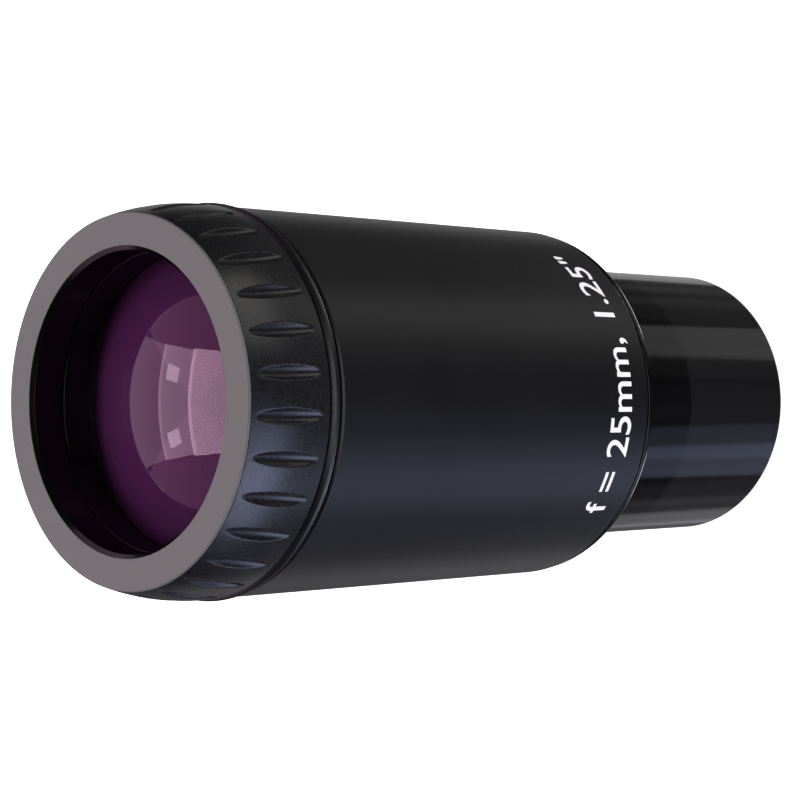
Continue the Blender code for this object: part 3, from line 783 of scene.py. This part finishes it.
def tinted(tree, value, dark, light):
    """Colour that goes from dark to light with the noise."""
    ramp = add(tree, "ShaderNodeValToRGB", {"Fac": value})
    ramp.color_ramp.elements[0].position = NOISE_LOW
    ramp.color_ramp.elements[0].color = linear(dark)
    ramp.color_ramp.elements[1].position = NOISE_HIGH
    ramp.color_ramp.elements[1].color = linear(light)
    return ramp.outputs["Color"]


def blasted_anodised_aluminium():
    """Bead-blasted aluminium, black anodised: a fine even grain that spreads highlights softly."""
    material, tree = new_material("blasted_black_anodised_aluminium")
    fine = grain(tree, 0.22 * MM)
    broad = grain(tree, 6 * MM)
    shaded(
        tree,
        Base_Color=tinted(tree, broad, "#0d0d0e", "#111112"),
        Roughness=spread(tree, fine, 0.30, 0.40),
        IOR=1.58,
        Normal=bump(tree, fine, 0.0012 * MM),
    )
    return material


def lacquered_aluminium():
    """Turned aluminium under black gloss lacquer: crisp reflections, faint turning lines.

    Its top part, next to the rear ring, is painted darker: painted shade of the ring's overhang.
    """
    material, tree = new_material("black_lacquered_aluminium")
    lines = grain(tree, 8 * MM, ROUND_ABOUT)
    place = add(tree, "ShaderNodeTexCoord").outputs["Object"]
    height = add(tree, "ShaderNodeSeparateXYZ", {"Vector": place}).outputs["Z"]
    # Painted shade: a darker colour above the shade height, under the rear ring's overhang.
    edges = {"From Min": PAINTED_SHADE_BOTTOM, "From Max": PAINTED_SHADE_BOTTOM - PAINTED_SHADE_FADE, "To Min": 0.0, "To Max": 1.0}
    below_painted_shade = add(tree, "ShaderNodeMapRange", {"Value": height, **edges}).outputs["Result"]
    painted_shade_colour = tinted(tree, lines, "#050505", "#080809")
    unshaded_colour = tinted(tree, lines, "#121212", "#161617")
    mixed = {"Factor": below_painted_shade, MIX_FROM: painted_shade_colour, MIX_TO: unshaded_colour}
    colour = add(tree, "ShaderNodeMix", mixed, data_type="RGBA").outputs[MIX_RESULT]
    shaded(
        tree,
        Base_Color=colour,
        Roughness=spread(tree, lines, 0.09, 0.14),
        IOR=1.5,
        Normal=bump(tree, lines, 0.0006 * MM),
    )
    return material


def inner_gloss_black():
    """Black anodised and polished: the wall round the eye lens, nearly a dark mirror."""
    material, tree = new_material("polished_black_anodised_aluminium")
    lines = grain(tree, 8 * MM, ROUND_ABOUT)
    shaded(
        tree,
        Base_Color=tinted(tree, lines, "#050506", "#08080a"),
        Roughness=spread(tree, lines, 0.14, 0.20),
        IOR=1.45,
    )
    return material


def matt_anodised_aluminium():
    """Dull black anodised inner parts, which must not reflect: flat, with a fine tooth."""
    material, tree = new_material("matt_black_anodised_aluminium")
    fine = grain(tree, 0.3 * MM)
    shaded(
        tree,
        Base_Color=tinted(tree, fine, "#0b0b0b", "#121212"),
        Roughness=spread(tree, fine, 0.7, 0.85),
        IOR=1.45,
        Normal=bump(tree, fine, 0.004 * MM),
    )
    return material


def moulded_grip_polymer():
    """Moulded ABS with a fine etched grain and the mould's faint turning lines."""
    material, tree = new_material("moulded_black_abs")
    fine = grain(tree, 0.25 * MM, detail=3.0)
    lines = grain(tree, 10 * MM, ROUND_ABOUT)
    normal = bump(tree, fine, 0.006 * MM)
    shaded(
        tree,
        Base_Color=tinted(tree, fine, "#121213", "#1a1a1c"),
        Roughness=spread(tree, fine, 0.24, 0.36),
        IOR=1.54,
        Normal=bump(tree, lines, 0.003 * MM, normal),
    )
    return material


def grey_face_polymer():
    """Moulded grey polymer, matt, with an even fine texture."""
    material, tree = new_material("moulded_grey_abs")
    fine = grain(tree, 0.3 * MM, detail=3.0)
    shaded(
        tree,
        Base_Color=tinted(tree, fine, "#636361", "#696967"),
        Roughness=spread(tree, fine, 0.45, 0.6),
        IOR=1.5,
        Normal=bump(tree, fine, 0.004 * MM),
    )
    return material


def coated_crown_glass():
    """Crown glass with a magenta anti-reflection coating: weak coloured reflections, and a painted magenta
    reflection.
    """
    material, tree = new_material("coated_crown_glass")
    haze = grain(tree, 4 * MM)
    shaded(
        # Painted reflection: the part that isn't transmission is diffuse magenta, for the coating's
        # reflections.
        tree,
        Base_Color=tinted(tree, haze, "#b85ab8", "#bc5ebc"),
        Roughness=0.0,
        IOR=1.52,
        Transmission_Weight=0.86,
        Specular_IOR_Level=0.28,
        Specular_Tint=linear("#f0c2da"),
    )
    return material


def optical_cement():
    """Clear cement of the glass's own index: the cemented faces neither bend nor reflect light."""
    material, tree = new_material("clear_optical_cement")
    pane = add(tree, "ShaderNodeBsdfTransparent", {"Color": linear("#fbfbfa")})
    add(tree, "ShaderNodeOutputMaterial", {"Surface": pane.outputs["BSDF"]})
    return material


def coated_flint_glass():
    """Dense flint glass with a magenta coating on its free side."""
    material, tree = new_material("coated_flint_glass")
    haze = grain(tree, 4 * MM)
    shaded(
        tree,
        Base_Color=tinted(tree, haze, "#c0a8c8", "#c8b0d0"),
        Roughness=0.0,
        IOR=1.62,
        Transmission_Weight=1.0,
        Specular_Tint=linear("#d070d8"),
    )
    return material


def nitrile_rubber():
    """Moulded nitrile rubber, dull and slightly greasy."""
    material, tree = new_material("black_nitrile_rubber")
    fine = grain(tree, 0.2 * MM)
    shaded(
        tree,
        Base_Color=tinted(tree, fine, "#0d0d0d", "#151515"),
        Roughness=spread(tree, fine, 0.5, 0.65),
        IOR=1.52,
        Normal=bump(tree, fine, 0.003 * MM),
    )
    return material


def stainless_steel():
    """Turned stainless steel, bright with fine tool marks."""
    material, tree = new_material("turned_stainless_steel")
    fine = grain(tree, 0.1 * MM)
    shaded(
        tree,
        Base_Color=tinted(tree, fine, "#b8b6b2", "#c6c4c0"),
        Metallic=1.0,
        Roughness=spread(tree, fine, 0.22, 0.34),
        Normal=bump(tree, fine, 0.001 * MM),
    )
    return material


def printing_ink():
    """White screen-printing ink, slightly matt."""
    material, tree = new_material("white_screen_ink")
    fine = grain(tree, 0.2 * MM)
    shaded(
        tree,
        Base_Color=tinted(tree, fine, "#f2f2f2", "#fafafa"),
        Roughness=spread(tree, fine, 0.4, 0.55),
        IOR=1.5,
    )
    return material


def studio_paper():
    """White paper sweep: its own faint glow keeps it even under the soft lights."""
    material, tree = new_material("white_studio_paper")
    fibre = grain(tree, 3 * MM)
    shaded(
        tree,
        Base_Color=tinted(tree, fibre, "#fdfdfd", "#ffffff"),
        Roughness=0.9,
        Specular_IOR_Level=0.0,
        Emission_Color=(1.0, 1.0, 1.0, 1.0),
        Emission_Strength=0.95,
    )
    return material


# ---------------------------------------------------------------- studio


def floor():
    """A square of white paper at the height of the nosepiece's end."""
    mesh = bpy.data.meshes.new("floor")
    corner = FLOOR_HALF
    points = [(-corner, -corner, 0), (corner, -corner, 0), (corner, corner, 0), (-corner, corner, 0)]
    mesh.from_pydata(points, [], [(0, 1, 2, 3)])
    paper = bpy.data.objects.new("floor", mesh)
    paper.data.materials.append(studio_paper())
    bpy.context.scene.collection.objects.link(paper)
    paper.visible_glossy = False
    paper.visible_transmission = False
    paper.visible_shadow = False


def softbox(name, azimuth, elevation, distance, width, height, radiance, colour):
    """A rectangular light that faces the middle of the eyepiece.

    Azimuth 0 is +X and 90 degrees +Y. Its power is pi times its area times its radiance.
    """
    light = bpy.data.lights.new(name, "AREA")
    light.shape = "RECTANGLE"
    light.size = width
    light.size_y = height
    light.energy = math.pi * width * height * radiance
    light.color = linear(colour)[:3]
    box = bpy.data.objects.new(name, light)
    bpy.context.scene.collection.objects.link(box)
    a, e = math.radians(azimuth), math.radians(elevation)
    out = Vector((math.cos(e) * math.cos(a), math.cos(e) * math.sin(a), math.sin(e)))
    box.rotation_mode = "QUATERNION"
    box.rotation_quaternion = out.to_track_quat("Z", "Y")
    box.location = Vector((0.0, 0.0, CAMERA_AIM)) + out * distance
    box.visible_camera = False
    return box


def light_tent():
    """A dim surround, a little lighter above the horizon than below it."""
    world = bpy.data.worlds.new("light_tent")
    world.use_nodes = True
    tree = world.node_tree
    tree.nodes.clear()
    direction = add(tree, "ShaderNodeTexCoord").outputs["Generated"]
    height = add(tree, "ShaderNodeSeparateXYZ", {"Vector": direction}).outputs["Z"]
    ramp = add(tree, "ShaderNodeValToRGB", {"Fac": height})
    ramp.color_ramp.elements[0].position = 0.0
    ramp.color_ramp.elements[0].color = linear("#101012")
    ramp.color_ramp.elements[1].position = 0.35
    ramp.color_ramp.elements[1].color = linear("#303032")
    surround = add(tree, "ShaderNodeBackground", {"Color": ramp.outputs["Color"], "Strength": 1.0})
    add(tree, "ShaderNodeOutputWorld", {"Surface": surround.outputs["Background"]})
    bpy.context.scene.world = world


# The soft boxes: azimuth and elevation in degrees, distance, width, height, radiance, colour.
# From the camera the eye lens mirrors the top boxes, wings and windows, which stand opposite it;
# the front box stands on the camera's side.
SOFTBOXES = {
    "top_box_low": (90, 30, 0.9, 0.46, 0.42, 1.15, "#ffe4f4"),
    "top_box": (90, 50, 0.9, 0.46, 0.26, 2.9, "#f8f0f6"),
    "top_box_high": (90, 68, 0.9, 0.48, 0.36, 5.0, "#ffffff"),
    "right_wing": (44, 34, 0.9, 0.80, 1.3, 0.66, "#ffd2f2"),
    "left_wing": (136, 34, 0.9, 0.80, 1.3, 0.66, "#ffd2f2"),
    "right_window": (79, 48, 0.85, 0.06, 0.09, 4.6, "#f0f4f8"),
    "left_window": (104, 48, 0.85, 0.06, 0.09, 4.6, "#f0f4f8"),
    "front_box": (-90, 34, 0.9, 0.9, 0.5, 1.5, "#ffffff"),
}

# Two small boxes that shine up from below, in the same terms.
GLINTS = {
    "right_glint": (29, -70, 0.5, 0.10, 0.10, 9.0, "#ffffff"),
    "left_glint": (163, -73, 0.5, 0.10, 0.10, 9.0, "#f0f4ff"),
}

# Two rings of strips round the barrel: azimuth in degrees, radiance and colour. The walls of
# the barrel mirror the low ring, and the sloping grip ring the high one. A strip's place and
# size are its elevation in degrees, its distance, its width and its height.
LOW_STRIP = (-48, 0.9, 0.285, 0.75)
LOW_RING = (
    (-180, 0.07, "#f4f4ff"),
    (-144, 0.56, "#ccd8ff"),
    (-126, 0.28, "#d0d6ff"),
    (-108, 0.03, "#e0e4ff"),
    (-90, 0.03, "#f4f4ff"),
    (-54, 0.05, "#fff9f6"),
    (-35, 0.37, "#fffdfa"),
    (0, 0.05, "#ffffff"),
    (20, 0.05, "#ffffff"),
    (40, 0.05, "#ffffff"),
    (62, 0.42, "#ffffff"),
    (90, 0.42, "#fafaff"),
    (118, 0.14, "#f0f2ff"),
    (140, 0.32, "#fafaff"),
    (160, 0.09, "#f0f2ff"),
)
HIGH_STRIP = (-9, 0.8, 0.28, 0.34)
HIGH_RING = (
    (-170, 0.30, "#d0d8ff"),
    (-150, 3.40, "#ccd4ff"),
    (-130, 4.80, "#ccd4ff"),
    (-110, 2.60, "#ccd4ff"),
    (-50, 1.30, "#fffaf9"),
    (-30, 1.50, "#fffdf4"),
)


def studio():
    """Soft light from above, and strips below that draw bands along the barrel."""
    for name, values in SOFTBOXES.items():
        softbox(name, *values)
    for name, place, ring in (("low_strip", LOW_STRIP, LOW_RING), ("high_strip", HIGH_STRIP, HIGH_RING)):
        for azimuth, radiance, colour in ring:
            softbox(name, azimuth, *place, radiance, colour)
    for name, values in GLINTS.items():
        softbox(name, *values)
    light_tent()
    bpy.context.scene.view_settings.view_transform = "Standard"


def camera():
    """Looks at the axis from the eye's side, with the eyepiece's +X up in the view."""
    data = bpy.data.cameras.new("camera")
    data.sensor_width = SENSOR_WIDTH
    data.lens = CAMERA_LENS
    data.shift_y = CAMERA_SHIFT
    data.clip_start = 0.01
    view = bpy.data.objects.new("camera", data)
    bpy.context.scene.collection.objects.link(view)
    back = Vector((0.0, -math.cos(CAMERA_ELEVATION), math.sin(CAMERA_ELEVATION)))
    up = Vector((1.0, 0.0, 0.0))
    right = up.cross(back)
    turn = Matrix((right, up, back)).transposed().to_4x4()
    aim = Vector((0.0, 0.0, CAMERA_AIM))
    view.matrix_world = Matrix.Translation(aim + back * CAMERA_DISTANCE) @ turn
    bpy.context.scene.camera = view


def dress_frame_nodes(material, *names):
    """Gives CAD nodes that stay in view their finished material."""
    for name in names:
        wear(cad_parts[name], material)


def lenses(rim):
    """Two cemented doublets that face each other, each a crown and a flint."""
    eye_outer = (EYE_CROWN_POLE, EYE_OUTER_CURVE, -1)
    eye_cement = (EYE_CEMENT_POLE, EYE_CEMENT_CURVE, 1)
    eye_cement_below = (EYE_CEMENT_POLE - CEMENT_GAP, EYE_CEMENT_CURVE, 1)
    eye_flat = (EYE_FLINT_BOTTOM, 0.0, 1)
    field_flat = (FIELD_FLINT_TOP, 0.0, 1)
    field_cement = (FIELD_CEMENT_POLE, FIELD_CEMENT_CURVE, -1)
    field_cement_below = (FIELD_CEMENT_POLE - CEMENT_GAP, FIELD_CEMENT_CURVE, -1)
    field_outer = (FIELD_CROWN_POLE, FIELD_OUTER_CURVE, 1)
    crown_glass, cement, flint_glass = coated_crown_glass(), optical_cement(), coated_flint_glass()
    crown = ([crown_glass, cement, rim], "coated_glass")
    flint = ([flint_glass, cement, rim], "flint_glass")
    lens("eye_crown_ground", EYE_LENS_R, eye_outer, eye_cement, *crown, "eye_crown_lens", -1)
    lens("eye_flint_ground", EYE_LENS_R, eye_cement_below, eye_flat, *flint, "eye_flint_lens", 1)
    lens("field_flint_ground", FIELD_LENS_R, field_flat, field_cement, *flint, "field_flint_lens", -1)
    lens("field_crown_ground", FIELD_LENS_R, field_cement_below, field_outer, *crown, "field_crown_lens", 1)


def build():
    """Makes the eyepiece from the nosepiece up, then the studio."""
    satin = blasted_anodised_aluminium()
    gloss = lacquered_aluminium()
    matt = matt_anodised_aluminium()
    wall = inner_gloss_black()

    nosepiece(gloss)
    rear_ring(gloss)
    field_stop_ring(matt)
    body_shell(satin)
    collar_ring(satin)
    lens_cell(matt)
    eye_lens_ring(wall)
    lens_spacer(matt)
    lens_retaining_ring(matt)
    lenses(matt)

    eyecup_sleeve(wall)
    eyecup_grip_ring(moulded_grip_polymer())
    eyecup_face_ring(grey_face_polymer())
    friction_o_ring(nitrile_rubber())
    dress_frame_nodes(stainless_steel(), "guide_screw_1", "guide_screw_2", "guide_screw_3")
    size_marks(printing_ink())

    floor()
    studio()
    camera()


build()

bpy.context.view_layer.update()
